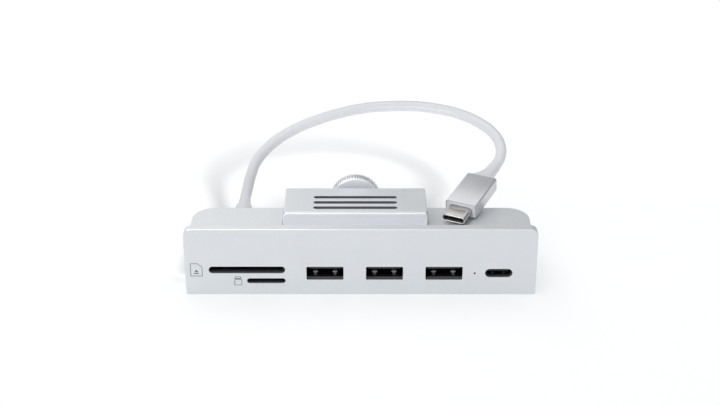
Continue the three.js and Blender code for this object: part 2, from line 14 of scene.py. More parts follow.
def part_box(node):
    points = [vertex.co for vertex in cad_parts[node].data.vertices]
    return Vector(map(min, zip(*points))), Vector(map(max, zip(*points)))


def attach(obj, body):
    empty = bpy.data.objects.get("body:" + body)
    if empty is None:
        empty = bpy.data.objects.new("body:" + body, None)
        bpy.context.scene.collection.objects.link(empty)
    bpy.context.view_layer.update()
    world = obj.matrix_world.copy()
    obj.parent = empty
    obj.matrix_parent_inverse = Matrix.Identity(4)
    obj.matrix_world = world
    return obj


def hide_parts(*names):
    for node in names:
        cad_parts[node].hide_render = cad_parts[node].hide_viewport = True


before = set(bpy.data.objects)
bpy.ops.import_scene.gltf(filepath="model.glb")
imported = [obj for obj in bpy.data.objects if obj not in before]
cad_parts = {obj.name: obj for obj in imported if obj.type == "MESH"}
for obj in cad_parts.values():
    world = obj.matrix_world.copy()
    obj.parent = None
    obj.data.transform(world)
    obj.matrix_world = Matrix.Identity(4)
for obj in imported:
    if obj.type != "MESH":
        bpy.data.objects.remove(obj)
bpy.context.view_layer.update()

MM = 0.001

# ---- camera, and the lead's route, in metres ----
CAMERA_AT = (-0.00024, -0.4502, 0.2590)
CAMERA_DOWN = 27.5  # degrees below the horizon
LENS = 74  # millimetres, on a 36 mm wide sensor

CABLE_ROUTE = [
    (-0.042, 0.0271, 0.011), (-0.042, 0.03, 0.0112), (-0.0415, 0.0343, 0.0126),
    (-0.0406, 0.039, 0.0153), (-0.0384, 0.0446, 0.0191), (-0.0333, 0.0492, 0.0234),
    (-0.026, 0.0532, 0.027), (-0.017, 0.0563, 0.0299), (-0.0079, 0.0587, 0.0319),
    (0.0012, 0.0608, 0.033), (0.0104, 0.0618, 0.0334), (0.0195, 0.0619, 0.0334),
    (0.0287, 0.0605, 0.0329), (0.0377, 0.0578, 0.0317), (0.045, 0.0533, 0.0299),
    (0.0499, 0.0473, 0.0278), (0.0515, 0.0417, 0.0257), (0.0512, 0.0381, 0.0241),
    (0.05, 0.0351, 0.0228), (0.0483, 0.0327, 0.0217),
]
CABLE_DIAMETER = 0.004

FLOOR_HALF = 3

# ---- sizes that the frame doesn't hold, in millimetres ----
USB_A_MOUTH = (12.4, 4.9)
USB_A_Z = 8.2
USB_A_SETBACK = 1.2  # how far behind the panel's face the sockets start
CARD_SLOTS = ((-38.2, 9.5, 25.6, 2.5), (-31.8, 5.3, 12.9, 1.8))  # x, z, width, height
USB_C_MOUTH = (9.15, 3.1)
PANEL_CHAMFER = 0.15
BODY_CORNER = 8
BODY_WALL = 1.6
CLAMP_X = -1.8
SCREW_Z = 17
CHANNEL_HALF_WIDTH = 25.2
CHANNEL_FLOOR = 13.2
CHANNEL_DEPTH = 20.1
GROOVE = {"length": 28.8, "width": 1.9, "depth": 1.4, "pitch": 3.9, "from_front": 3.4}
SCREW_RADIUS = 2.5
SCREW_CORE = 2.05
SCREW_PITCH = 0.8
WHEEL_RADIUS = 8.95
KNURLS = 60
KNURL_DEPTH = 0.34
KNURL_PROFILE = (0, 0, 0.8, 1, 1, 0.8)  # heights round one knurl, as shares of its depth
PLUG_AT = (34.97, 7.05, 18.25)  # middle of the plug housing's front face
PLUG_HEADING = 26  # degrees clockwise from +Y, seen from above
PLUG_RISE = 6
PLUG_SIZE = (11.5, 5.4, 19.5)
PLUG_SHELL = (8.34, 2.56, 6.65)
PLUG_WALL = 0.25
NOSE_DEPTH = 1.6
FINGER_OFFSET = 3.3  # from a USB-A socket's middle to each spring finger
PRINT = {"proud": 0.015, "depth": 0.06}
BOOT_LAP = 1.2  # how far the boot starts inside the sleeve
BOOT_INSET = 0.28
BOOT_END = 2.2  # half its width where it meets the lead
BOOT_TAPER = 2.5


def span(node):
    """A CAD node's lowest and highest corners in millimetres."""
    low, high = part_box(node)
    return Vector(low) / MM, Vector(high) / MM


def middle(node):
    """The x and z of a CAD node's middle, as seen from the front."""
    low, high = span(node)
    return (low.x + high.x) / 2, (low.z + high.z) / 2


# ---- materials ----
def new_material(name, color, roughness, metallic=0.0):
    """A material, its node tree and its shader, with the plain values set."""
    material = bpy.data.materials.new(name)
    material.use_nodes = True
    nodes = material.node_tree.nodes
    shader = nodes["Principled BSDF"]
    shader.inputs["Base Color"].default_value = (*color, 1)
    shader.inputs["Roughness"].default_value = roughness
    shader.inputs["Metallic"].default_value = metallic
    return material, material.node_tree, shader


def noise(tree, scale, detail=3.0, stretch=(1, 1, 1)):
    """Noise on the object's own coordinates; scale is in features per metre."""
    place = tree.nodes.new("ShaderNodeTexCoord")
    mapping = tree.nodes.new("ShaderNodeMapping")
    mapping.inputs["Scale"].default_value = stretch
    texture = tree.nodes.new("ShaderNodeTexNoise")
    texture.inputs["Scale"].default_value = scale
    texture.inputs["Detail"].default_value = detail
    tree.links.new(place.outputs["Object"], mapping.inputs["Vector"])
    tree.links.new(mapping.outputs["Vector"], texture.inputs["Vector"])
    return texture.outputs["Fac"]


def vary(tree, shader, socket, source, low, high):
    """Drives a shader number between low and high."""
    spread = tree.nodes.new("ShaderNodeMapRange")
    spread.inputs["From Min"].default_value = 0.3
    spread.inputs["From Max"].default_value = 0.7
    spread.inputs["To Min"].default_value = low
    spread.inputs["To Max"].default_value = high
    tree.links.new(source, spread.inputs["Value"])
    tree.links.new(spread.outputs["Result"], shader.inputs[socket])


def tint(tree, shader, source, dark, light):
    """Mixes the base colour between two close tones."""
    ramp = tree.nodes.new("ShaderNodeValToRGB")
    ramp.color_ramp.elements[0].position = 0.3
    ramp.color_ramp.elements[1].position = 0.7
    ramp.color_ramp.elements[0].color = (*dark, 1)
    ramp.color_ramp.elements[1].color = (*light, 1)
    tree.links.new(source, ramp.inputs["Fac"])
    tree.links.new(ramp.outputs["Color"], shader.inputs["Base Color"])


def bump(tree, shader, source, depth, strength=1.0):
    """A bump of the given depth in metres."""
    node = tree.nodes.new("ShaderNodeBump")
    node.inputs["Strength"].default_value = strength
    node.inputs["Distance"].default_value = depth
    tree.links.new(source, node.inputs["Height"])
    tree.links.new(node.outputs["Normal"], shader.inputs["Normal"])


def shade(color, factor):
    """A colour made darker or lighter."""
    return tuple(c * factor for c in color)


def textured(name, color, roughness, metallic, grain, depth, spread=0.04, stretch=(1, 1, 1)):
    """A finish with a fine grain in its bump and its tone, and broad, faint changes of roughness."""
    material, tree, shader = new_material(name, color, roughness, metallic)
    fine = noise(tree, grain, 4, stretch)
    broad = noise(tree, 90, 2)
    tint(tree, shader, fine, shade(color, 1 - spread), shade(color, 1))
    vary(tree, shader, "Roughness", broad, roughness - 0.03, roughness + 0.03)
    bump(tree, shader, fine, depth)
    return material


SILVER = (0.76, 0.785, 0.805)

# Name, colour, roughness, metallic, grain per metre, bump in metres, spread of tone.
finishes = {
    "casing": textured("blasted_aluminium", SILVER, 0.42, 0.7, 3600, 0.000012, 0.1),
    # recess: the aluminium painted dark grey as shade, for the insides of holes and grooves
    "recess": textured("painted_shade_in_recesses", (0.2, 0.205, 0.24), 0.5, 0.7, 2600, 0.000006, 0.08),
    "machined": textured("turned_aluminium", (0.92, 0.925, 0.97), 0.42, 0.3, 2600, 0.000004, 0.05),
    "knurl": textured("knurled_aluminium", (0.78, 0.785, 0.8), 0.3, 0.85, 2600, 0.000004, 0.05),
    "plug": textured("plug_aluminium", (0.66, 0.672, 0.69), 0.4, 0.8, 3400, 0.000006, 0.06),
    "steel": textured("zinc_steel", (0.62, 0.63, 0.64), 0.28, 1, 2400, 0.000004, 0.08),
    "nickel": textured("nickel_plate", (0.56, 0.55, 0.54), 0.2, 1, 1800, 0.000003, 0.06),
    "spring": textured("spring_steel", (0.5, 0.5, 0.52), 0.5, 0.6, 1800, 0.000003, 0.06),
    # Socket cans and card socket lids: steel painted near-black as shade, for the deep shade inside
    # the sockets; the real metal is bright.
    "shade_dark_steel": textured("steel_painted_dark_as_shade", (0.13, 0.13, 0.145), 0.38, 1, 1800, 0.000003, 0.1),
    "gold": textured("gold_contacts", (0.72, 0.58, 0.34), 0.35, 1, 1800, 0.000002, 0.06),
    "brass": textured("cast_brass", (0.72, 0.55, 0.28), 0.3, 1, 2400, 0.000004, 0.08),
    "pad": textured("pad_silicone", (0.88, 0.885, 0.93), 0.36, 0, 2600, 0.000004, 0.03),
    "white": textured("white_moulding", (0.78, 0.785, 0.82), 0.4, 0, 2200, 0.000005, 0.02),
    "jacket": textured("cable_jacket", (0.78, 0.785, 0.815), 0.3, 0, 1800, 0.000006, 0.02),
    "black": textured("black_moulding", (0.018, 0.019, 0.021), 0.45, 0, 2200, 0.00001, 0.2),
    "carrier": textured("socket_moulding", (0.022, 0.024, 0.027), 0.5, 0, 2200, 0.00001, 0.2),
    "board": textured("solder_mask", (0.02, 0.1, 0.045), 0.4, 0, 1500, 0.00001, 0.2),
    "clear": textured("smoked_clear_moulding", (0.03, 0.03, 0.045), 0.2, 0, 1500, 0.000003, 0.05),
    "ink": textured("printed_ink", (0.16, 0.165, 0.21), 0.5, 0, 3000, 0.000002, 0.1),
}


# ---- mesh helpers ----
def corner_loop(x0, x1, y0, y1, radii, steps=10):
    """Anticlockwise points round a rectangle with its own radius at each corner,
    bottom left first."""
    a, b, c, d = (max(r, 0.02) for r in radii)
    centres = ((x0 + a, y0 + a, a), (x1 - b, y0 + b, b), (x1 - c, y1 - c, c), (x0 + d, y1 - d, d))
    loop = []
    for start, (cx, cy, r) in zip((180, 270, 0, 90), centres):
        for k in range(steps + 1):
            angle = math.radians(start + 90 * k / steps)
            loop.append((cx + r * math.cos(angle), cy + r * math.sin(angle)))
    return loop


def rounded_box(x0, x1, y0, y1, radii, steps=10):
    """An outline that shrinks by an inset, for plates."""

    def outline(inset):
        shrunk = [r - inset for r in radii]
        return corner_loop(x0 + inset, x1 - inset, y0 + inset, y1 - inset, shrunk, steps)

    return outline


def stadium(x, y, width, height, steps=12):
    """A slot's outline, with round ends."""
    radii = [height / 2 - 0.01] * 4
    return rounded_box(x - width / 2, x + width / 2, y - height / 2, y + height / 2, radii, steps)


def circle(x, y, radius, steps=24):
    """A round outline that shrinks by an inset."""

    def outline(inset):
        r = radius - inset
        turn = 2 * math.pi / steps
        return [(x + r * math.cos(k * turn), y + r * math.sin(k * turn)) for k in range(steps)]

    return outline


def edge(radius, segments=3, support=0.25):
    """(inset, depth) steps from a flat face round a rounded edge; one segment is a
    chamfer. The first step is a supporting loop that keeps the flat face flat."""
    steps = [(radius + support, 0)]
    for k in range(segments + 1):
        angle = math.pi / 2 * k / segments
        steps.append((radius * (1 - math.sin(angle)), radius * (1 - math.cos(angle))))
    return steps


def through(total, front, rear, segments=3, sign=1, support=0.25):
    """Steps of a wall from the front face to the rear, with an edge at each. A hole
    has sign -1, because its outline grows at the faces."""
    near = edge(front, segments, support)
    far = [(inset, total - depth) for inset, depth in reversed(edge(rear, segments, support))]
    return [(sign * inset, depth) for inset, depth in near + far]


def along_y(start):
    """Places a front-on outline (x, z) at a depth behind start."""
    return lambda x, z, depth: (x, start + depth, z)


def up_from(height):
    """Places a plan (x, y) at a distance above height."""
    return lambda x, y, depth: (x, y, height + depth)


def down_from(height):
    """Places a plan (x, y) at a distance below height."""
    return lambda x, y, depth: (x, y, height - depth)


def wall(outline, steps, place):
    """One loop of points for each step of an outline."""
    return [[place(x, y, depth) for x, y in outline(inset)] for inset, depth in steps]


class Shape:
    """Points and faces in millimetres."""

    def __init__(self):
        self.points = []
        self.faces = []

    def add_loops(self, loops):
        """Joins closed loops of equal length side to side and returns where they start."""
        starts = []
        for loop in loops:
            starts.append(len(self.points))
            self.points.extend(loop)
        size = len(loops[0])
        for a, b in zip(starts, starts[1:]):
            for k in range(size):
                n = (k + 1) % size
                self.faces.append((a + k, a + n, b + n, b + k))
        return starts

    def cap(self, starts_and_sizes):
        """Fills between an outer loop and the holes in it."""
        index = [s + k for s, size in starts_and_sizes for k in range(size)]
        polygons = [
            [Vector(self.points[s + k]) for k in range(size)] for s, size in starts_and_sizes
        ]
        for triangle in tessellate_polygon(polygons):
            self.faces.append(tuple(index[k] for k in triangle))

    def add_loft(self, loops):
        """Joins loops side to side and closes both ends."""
        starts = self.add_loops(loops)
        size = len(loops[0])
        self.faces.append(tuple(range(starts[0], starts[0] + size)))
        self.faces.append(tuple(range(starts[-1], starts[-1] + size)))
        return self

    def add_box(self, low, high, place=up_from(0), bevel=0.05):
        """Adds a box with small bevels, its third axis along the placing's depth."""
        outline = rounded_box(low[0], high[0], low[1], high[1], [bevel] * 4, 2)
        steps = [(bevel, 0), (0, bevel), (0, high[2] - low[2] - bevel), (bevel, high[2] - low[2])]
        return self.add_loft(wall(outline, steps, lambda x, y, d: place(x, y, low[2] + d)))


def plate(outer, outer_steps, holes, place, pockets=(), rear_pockets=()):
    """A solid with holes right through it and pockets in either face. Each cut is an
    (outline, steps) pair, whose steps start at the face that it opens on."""
    shape = Shape()
    front, rear = [], []
    for outline, steps in [(outer, outer_steps), *holes]:
        loops = wall(outline, steps, place)
        starts = shape.add_loops(loops)
        front.append((starts[0], len(loops[0])))
        rear.append((starts[-1], len(loops[0])))
    for face, cuts in ((front, pockets), (rear, rear_pockets)):
        for outline, steps in cuts:
            loops = wall(outline, steps, place)
            starts = shape.add_loops(loops)
            face.append((starts[0], len(loops[0])))
            shape.cap([(starts[-1], len(loops[0]))])
    shape.cap(front)
    shape.cap(rear)
    return shape


def ring(x, z, radius, y, segments):
    """A circle of points round the Y axis through (x, z)."""
    angles = [2 * math.pi * k / segments for k in range(segments)]
    return [(x + radius * math.cos(a), y, z + radius * math.sin(a)) for a in angles]


def turned(profile, x, z, segments=64):
    """A solid turned on the Y axis through (x, z), from (radius, y) points."""
    return Shape().add_loft([ring(x, z, radius, y, segments) for radius, y in profile])


def raw_object(name, shape):
    """A mesh object in metres, with no finish or body yet."""
    mesh = bpy.data.meshes.new(name)
    mesh.from_pydata([Vector(p) * MM for p in shape.points], [], shape.faces)
    work = bmesh.new()
    work.from_mesh(mesh)
    bmesh.ops.remove_doubles(work, verts=work.verts, dist=2e-7)
    bmesh.ops.dissolve_degenerate(work, edges=work.edges, dist=1e-7)
    bmesh.ops.recalc_face_normals(work, faces=work.faces)
    work.to_mesh(mesh)
    work.free()
    thing = bpy.data.objects.new(name, mesh)
    bpy.context.scene.collection.objects.link(thing)
    return thing


def carve(thing, cuts):
    """Cuts shapes, or objects that are then used up, out of an object."""
    for cut in cuts:
        cutter = raw_object("cutter", cut) if isinstance(cut, Shape) else cut
        modifier = thing.modifiers.new("cut", "BOOLEAN")
        modifier.object = cutter
        modifier.operation = "DIFFERENCE"
        modifier.solver = "EXACT"
        bpy.context.view_layer.update()
        evaluated = thing.evaluated_get(bpy.context.evaluated_depsgraph_get())
        mesh = bpy.data.meshes.new_from_object(evaluated)
        thing.modifiers.clear()
        thing.data = mesh
        bpy.data.objects.remove(cutter)
    return thing


def finished(thing, material, body="root", stands_for=(), sharp=32):
    """Smooths a piece up to its sharp edges, and gives it its finish and its body."""
    thing.data.materials.clear()
    thing.data.materials.append(finishes[material])
    for polygon in thing.data.polygons:
        polygon.use_smooth = True
    thing.data.set_sharp_from_angle(angle=math.radians(sharp))
    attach(thing, body)
    if stands_for:
        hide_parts(*stands_for)
    return thing


def piece(name, shape, material, body="root", stands_for=(), sharp=32):
    """A finished object from a shape."""
    return finished(raw_object(name, shape), material, body, stands_for, sharp)


def refinish(thing, material, where):
    """Gives a second finish to the faces whose middles, in millimetres, pass a test."""
    thing.data.materials.append(finishes[material])
    for polygon in thing.data.polygons:
        if where(polygon.center / MM):
            polygon.material_index = 1


# ---- camera and lead ----
def make_camera():
    camera = bpy.data.objects.new("camera", bpy.data.cameras.new("camera"))
    camera.data.lens = LENS
    camera.data.sensor_width = 36
    camera.location = CAMERA_AT
    camera.rotation_euler = (math.radians(90 - CAMERA_DOWN), 0, 0)
    bpy.context.scene.collection.objects.link(camera)
    bpy.context.scene.camera = camera


def make_cable():
    curve = bpy.data.curves.new("lead_cable", "CURVE")
    curve.dimensions = "3D"
    curve.resolution_u = 10
    curve.bevel_depth = CABLE_DIAMETER / 2
    curve.bevel_resolution = 7
    curve.use_fill_caps = True
    spline = curve.splines.new("BEZIER")
    spline.bezier_points.add(len(CABLE_ROUTE) - 1)
    for point, place in zip(spline.bezier_points, CABLE_ROUTE):
        point.co = place
        point.handle_left_type = "AUTO"
        point.handle_right_type = "AUTO"
    cable = bpy.data.objects.new("lead_cable", curve)
    curve.materials.append(finishes["jacket"])
    bpy.context.scene.collection.objects.link(cable)
    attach(cable, "root")
    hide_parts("cable")
    return cable


# ---- casing ----
def port_openings(low, high):
    """The panel's holes, each an outline and its steps from the front face."""
    depth = high.y - low.y
    plain = through(depth, 0.12, 0.12, 2, -1, 0.1)
    mouth = [(-inset, d) for inset, d in edge(0.1, 2, 0.1)]
    holes = [(stadium(*slot), plain) for slot in CARD_SLOTS]
    width, height = USB_A_MOUTH
    for k in (1, 2, 3):
        a, b = span(f"usb_a_shell_{k}")
        x = (a.x + b.x) / 2
        outline = rounded_box(
            x - width / 2, x + width / 2, USB_A_Z - height / 2, USB_A_Z + height / 2, [0.35] * 4, 5
        )
        pocket = -(b.x - a.x + 0.6 - width) / 2
        steps = [*mouth, (0, USB_A_SETBACK), (pocket, USB_A_SETBACK), (pocket, depth)]
        holes.append((outline, steps))
    steps = [*mouth, (0, 1), (-0.6, 1), (-0.6, depth)]
    holes.append((stadium(*middle("usb_c_shell"), *USB_C_MOUTH), steps))
    light = circle(*middle("light_pipe"), 0.34, 20)
    holes.append((light, through(depth, 0.04, 0.04, 1, -1, 0.04)))
    return holes


def make_front_panel():
    low, high = span("front_panel")
    outer = rounded_box(low.x, high.x, low.z, high.z, [0.4, 0.4, 2.5, 2.5], 14)
    steps = through(high.y - low.y, PANEL_CHAMFER, PANEL_CHAMFER, 1)
    shape = plate(outer, steps, port_openings(low, high), along_y(low.y))
    panel = piece(
        "face_plate", shape, "casing", stands_for=["front_panel"], sharp=28
    )

    def in_a_hole(at):
        deep = low.y + 0.12 < at.y < high.y - 0.1
        return deep and abs(at.x) < high.x - 1 and low.z + 1 < at.z < high.z - 1

    # The walls inside the holes get the recess finish: painted shade, darker than the panel's own
    # metal.
    refinish(panel, "recess", in_a_hole)


def make_light_window():
    """The end of the light pipe, set back in its hole so that it reads as a dark dot."""
    low, high = span("light_pipe")
    radius = (high.x - low.x) / 2
    profile = [(radius - 0.1, low.y + 0.5), (radius, low.y + 0.6), (radius, high.y)]
    window = turned(profile, *middle("light_pipe"), 24)
    piece("light_window", window, "clear", stands_for=["light_pipe"])


def body_plan(inset=0.0, front=None):
    """The casing's outline from above, inset from its walls."""
    low, high = span("body_shell")
    y0 = (low.y if front is None else front) + inset
    corner = BODY_CORNER - inset
    return rounded_box(
        low.x + inset, high.x - inset, y0, high.y - inset, [0.05, 0.05, corner, corner], 20
    )


def make_body_shell():
    low, high = span("body_shell")
    top = high.z
    from_top = down_from(top)
    outer = plate(body_plan(), through(top - low.z, 0.3, 0.15, 3), [], from_top)
    shell = raw_object("body_case", outer)
    channel_front = high.y - CHANNEL_DEPTH
    notch = rounded_box(
        CLAMP_X - CHANNEL_HALF_WIDTH, CLAMP_X + CHANNEL_HALF_WIDTH, channel_front, high.y + 3,
        [0.6, 0.6, 0.1, 0.1], 6,
    )
    flare = [(-0.9, -0.7), (0, 0.2), (0, top - CHANNEL_FLOOR)]
    bore = turned([(2.6, high.y - 4), (2.6, high.y + 1)], *middle("cable_gland"), 40)
    carve(shell, [plate(notch, flare, [], from_top), bore])
    inside = raw_object("inside", plate(
        body_plan(BODY_WALL, low.y - 3), [(0, BODY_WALL), (0, top - low.z + 2)], [], from_top
    ))
    side = CHANNEL_HALF_WIDTH + BODY_WALL
    tray = Shape().add_box(
        (CLAMP_X - side, channel_front - BODY_WALL, CHANNEL_FLOOR - BODY_WALL),
        (CLAMP_X + side, high.y + 2, top + 2),
    )
    carve(inside, [tray])
    carve(shell, [inside])
    finished(shell, "casing", stands_for=["body_shell"], sharp=28)


def screw_spots(count, pattern):
    """The middle of each screw's head, from the CAD nodes."""
    spots = []
    for k in range(1, count + 1):
        a, b = span(pattern.format(k))
        spots.append(((a.x + b.x) / 2, (a.y + b.y) / 2, a.z))
    return spots


def make_bottom_cover():
    low, high = span("bottom_cover")
    thickness = high.z - low.z
    outer = rounded_box(low.x, high.x, low.y, high.y, [0.2, 0.2, 6.3, 6.3], 16)
    holes = []
    for x, y, _ in screw_spots(4, "cover_screw_{}"):
        steps = [(-1.05, 0), (-0.9, 0.12), (-0.9, 0.6), (0, 0.6), (0, thickness)]
        holes.append((circle(x, y, 1.1, 32), steps))
    shape = plate(outer, through(thickness, 0.2, 0.05, 2), holes, up_from(low.z))
    piece(
        "base_cover", shape, "casing", stands_for=["bottom_cover"], sharp=28
    )


def make_cover_screws():
    """Pan-head screws with a cross recess, seen from below."""
    head = [(1.1, 0), (1.45, 0.03), (1.62, 0.14), (1.7, 0.3), (1.7, 0.6), (0.82, 0.6)]
    thread = [(0.8 if k % 2 == 0 else 0.62, (6 + k) / 5) for k in range(13)]
    profile = [*head, *thread, (0.5, 6.5)]
    for k, (x, y, z) in enumerate(screw_spots(4, "cover_screw_{}"), 1):
        loops = []
        for radius, height in profile:
            loops.append([(px, py, z + height) for px, py in circle(x, y, radius, 40)(0)])
        screw = raw_object(f"base_screw_{k}", Shape().add_loft(loops))
        recess = []
        for half_x, half_y in ((0.95, 0.17), (0.17, 0.95)):
            low = (x - half_x, y - half_y, z - 1)
            high = (x + half_x, y + half_y, z + 0.38)
            recess.append(Shape().add_box(low, high, bevel=0.04))
        carve(screw, recess)
        finished(screw, "steel", stands_for=[f"cover_screw_{k}"])


def make_pad(name, node, body):
    """A soft lining plate with its rounded edge towards the clamp gap."""
    low, high = span(node)
    outer = rounded_box(low.x, high.x, low.z, high.z, [0.4, 0.4, 1.4, 1.4], 10)
    steps = through(high.y - low.y, 0.22, 0.1, 4, 1, 0.3)
    if body == "root":  # its soft edge faces the jaw, to the rear
        steps = [(inset, high.y - low.y - d) for inset, d in steps]
    piece(name, plate(outer, steps, [], along_y(low.y)), "pad", body, [node])


def card_icon(name, outline, width, marks):
    """A printed card outline with marks in it, proud of the panel by a print's thickness."""
    place = along_y(span("front_panel")[0].y - PRINT["proud"])
    steps = [(0, 0), (0, PRINT["depth"])]
    hole = inset_loop(outline, width)
    shape = plate(lambda inset: outline, steps, [(lambda inset: hole, steps)], place)
    for mark in marks:
        shape.add_loft([[place(x, z, depth) for x, z in mark] for _, depth in steps])
    piece(name, shape, "ink")


def inset_loop(points, distance):
    """An anticlockwise outline moved inwards by a distance, with mitred corners."""
    moved = []
    count = len(points)
    for k in range(count):
        before, here, after = (Vector(points[(k + j) % count]) for j in (-1, 0, 1))
        first = (here - before).normalized()
        second = (after - here).normalized()
        inner_a = Vector((-first.y, first.x))
        inner_b = Vector((-second.y, second.x))
        mitre = (inner_a + inner_b).normalized()
        moved.append(tuple(here + mitre * (distance / mitre.dot(inner_a))))
    return moved


def make_icons():
    """Generic marks: a card with an arrow over a bar, and a smaller card with a stripe."""
    x, z, width, height = -55.2, 9.55, 4.1, 4.95
    left, right, bottom, top = x - width / 2, x + width / 2, z - height / 2, z + height / 2
    card = [(left, bottom), (right, bottom), (right, top - 1.35), (right - 1.55, top), (left, top)]
    arrow = [(x - 0.72, z - 0.8), (x + 0.72, z - 0.8), (x, z + 0.1)]
    bar = [(x - 0.8, z - 1.55), (x + 0.8, z - 1.55), (x + 0.8, z - 1.15), (x - 0.8, z - 1.15)]
    card_icon("card_icon", card, 0.22, [arrow, bar])

    x, z, width, height = -41.35, 5.3, 2.7, 3.4
    left, right, bottom, top = x - width / 2, x + width / 2, z - height / 2, z + height / 2
    small = [
        (left, bottom), (right, bottom), (right, top - 1.2), (right - 0.25, top - 0.9),
        (right - 0.25, top), (left + 0.3, top), (left + 0.3, top - 1.2), (left, top - 1.5),
        (left, z - 0.1), (left + 0.3, z - 0.35), (left + 0.3, z - 0.75), (left, z - 0.75),
    ]
    stripe = [
        (left + 0.45, top - 1.2), (right - 0.4, top - 1.2),
        (right - 0.4, top - 0.65), (left + 0.45, top - 0.65),
    ]
    card_icon("small_card_icon", small, 0.19, [stripe])


# ---- clamp ----
def make_jaw():
    low, high = span("jaw")
    total = high.z - low.z
    plan = rounded_box(low.x, high.x, low.y, high.y, [0.5, 0.5, 0.9, 0.9], 8)
    groove_depth = GROOVE["depth"]
    steps = [(-0.3, 0), (-0.12, 0), (-0.04, 0.04), (0, 0.12), (0, groove_depth - 0.3)]
    steps += [(0.1, groove_depth - 0.08), (0.35, groove_depth)]
    grooves = []
    for k in range(3):
        y = low.y + GROOVE["from_front"] + k * GROOVE["pitch"]
        grooves.append((stadium(CLAMP_X, y, GROOVE["length"], GROOVE["width"], 10), steps))
    inside = rounded_box(low.x + 2, high.x - 2, low.y + 2, high.y - 2.5, [0.3] * 4, 4)
    hollow = (inside, [(0, total), (0, 2.2), (0.3, 1.9)])
    shape = plate(plan, through(total, 0.22, 0.15, 3), [], down_from(high.z), grooves, [hollow])
    jaw = raw_object("jaw_block", shape)
    bore = SCREW_RADIUS + 0.3
    carve(jaw, [turned([(bore, high.y - 4), (bore, high.y + 1)], CLAMP_X, SCREW_Z, 40)])
    finished(jaw, "casing", "jaw", ["jaw"], sharp=28)

    def in_a_groove(at):
        deep = high.z - groove_depth - 0.1 < at.z < high.z - 0.1
        along = abs(at.x - CLAMP_X) < GROOVE["length"] / 2 + 0.1
        return deep and along and low.y + 2 < at.y < high.y - 2

    # The grooves' walls and floors get the recess finish: painted shade inside the grooves.
    refinish(jaw, "recess", in_a_groove)


def knurled(inset):
    """The wheel's outline: straight knurls that die away as the edge rounds over."""
    radius = WHEEL_RADIUS - inset
    depth = KNURL_DEPTH * max(0.0, 1 - max(inset, 0) / 0.36)
    points = KNURLS * len(KNURL_PROFILE)
    loop = []
    for k in range(points):
        angle = 2 * math.pi * k / points
        r = radius - depth * (1 - KNURL_PROFILE[k % len(KNURL_PROFILE)])
        loop.append((CLAMP_X + r * math.cos(angle), SCREW_Z + r * math.sin(angle)))
    return loop


def make_thumb_wheel():
    low, high = span("thumb_wheel")
    total = high.y - low.y
    steps = [
        (6.15, 2.9), (6.15, 0.12), (6.03, 0), (5.7, 0), (0.9, 0), (0.62, 0), (0.55, 0.03),
        (0.36, 0.2), (0.3, 0.26), (0.08, 0.46), (0.02, 0.54), (0, 0.66), (0, total - 1),
        (0.02, total - 0.8), (0.1, total - 0.65), (0.38, total - 0.4), (0.45, total - 0.33),
        (0.7, total - 0.06), (0.8, total), (1.1, total), (2.4, total), (2.6, total),
        (2.75, total - 0.15), (2.75, total - 0.4), (3, total - 0.4), (8.6, total - 0.4),
    ]
    shape = Shape().add_loft(wall(knurled, steps, along_y(low.y)))
    wheel = piece(
        "clamp_wheel", shape, "machined", "screw", ["thumb_wheel"], sharp=24
    )

    def on_the_rim(at):
        out = math.hypot(at.x - CLAMP_X, at.z - SCREW_Z)
        return out > WHEEL_RADIUS - 0.4 and low.y + 0.25 < at.y < high.y - 0.25

    refinish(wheel, "knurl", on_the_rim)


def make_lead_screw():
    """A real right-hand thread from the tip to the plain neck."""
    low, high = span("lead_screw")
    jaw_rear = span("jaw")[1].y
    wheel_front = span("thumb_wheel")[0].y
    clip_low, clip_high = span("retaining_clip")
    thread_start = low.y + 0.25
    thread_end = clip_low.y - 0.9
    around, rows_per_pitch = 40, 10
    rows = int((thread_end - low.y) / SCREW_PITCH * rows_per_pitch)
    loops = [ring(CLAMP_X, SCREW_Z, 1.5, low.y, around)]
    for row in range(rows + 1):
        y = thread_start + (thread_end - low.y - 0.25) * row / rows
        # The crest rises over the first of the thread and dies away at its end.
        lead_in = max(min(1.0, (y - low.y) / 0.8, (thread_end - y) / 0.4 + 0.01), 0)
        loop = []
        for k in range(around):
            turn = k / around
            phase = ((y - low.y) / SCREW_PITCH + turn) % 1
            crest = min(1.0, max(0.0, 1.5 - 3 * abs(phase - 0.5)))
            r = SCREW_CORE + (SCREW_RADIUS - SCREW_CORE) * crest * lead_in
            angle = 2 * math.pi * turn
            loop.append((CLAMP_X + r * math.cos(angle), y, SCREW_Z + r * math.sin(angle)))
        loops.append(loop)
    neck = (
        (2.05, thread_end + 0.2), (2.5, thread_end + 0.45), (2.5, clip_low.y - 0.1),
        (1.7, clip_low.y - 0.1), (1.7, clip_high.y + 0.1), (2.5, clip_high.y + 0.1),
        (2.5, jaw_rear + 0.2), (3.4, jaw_rear + 0.2), (3.6, jaw_rear + 0.4),
        (3.6, wheel_front - 0.3), (3.4, wheel_front - 0.1), (2.5, wheel_front - 0.1),
        (2.5, high.y),
    )
    loops += [ring(CLAMP_X, SCREW_Z, radius, y, around) for radius, y in neck]
    shape = Shape().add_loft(loops)
    piece("clamp_screw", shape, "steel", "screw", ["lead_screw"], sharp=40)


# ---- sockets ----
def socket_can(outer, inner, depth, mouth, place):
    """A socket's metal tube, with its bore opened out by mouth at the front."""
    walls = through(depth, 0.08, 0.05, 2, 1, 0.03)
    bore = through(depth, mouth, 0.05, 2, -1, 0.03)
    return plate(outer, walls, [(inner, bore)], place)


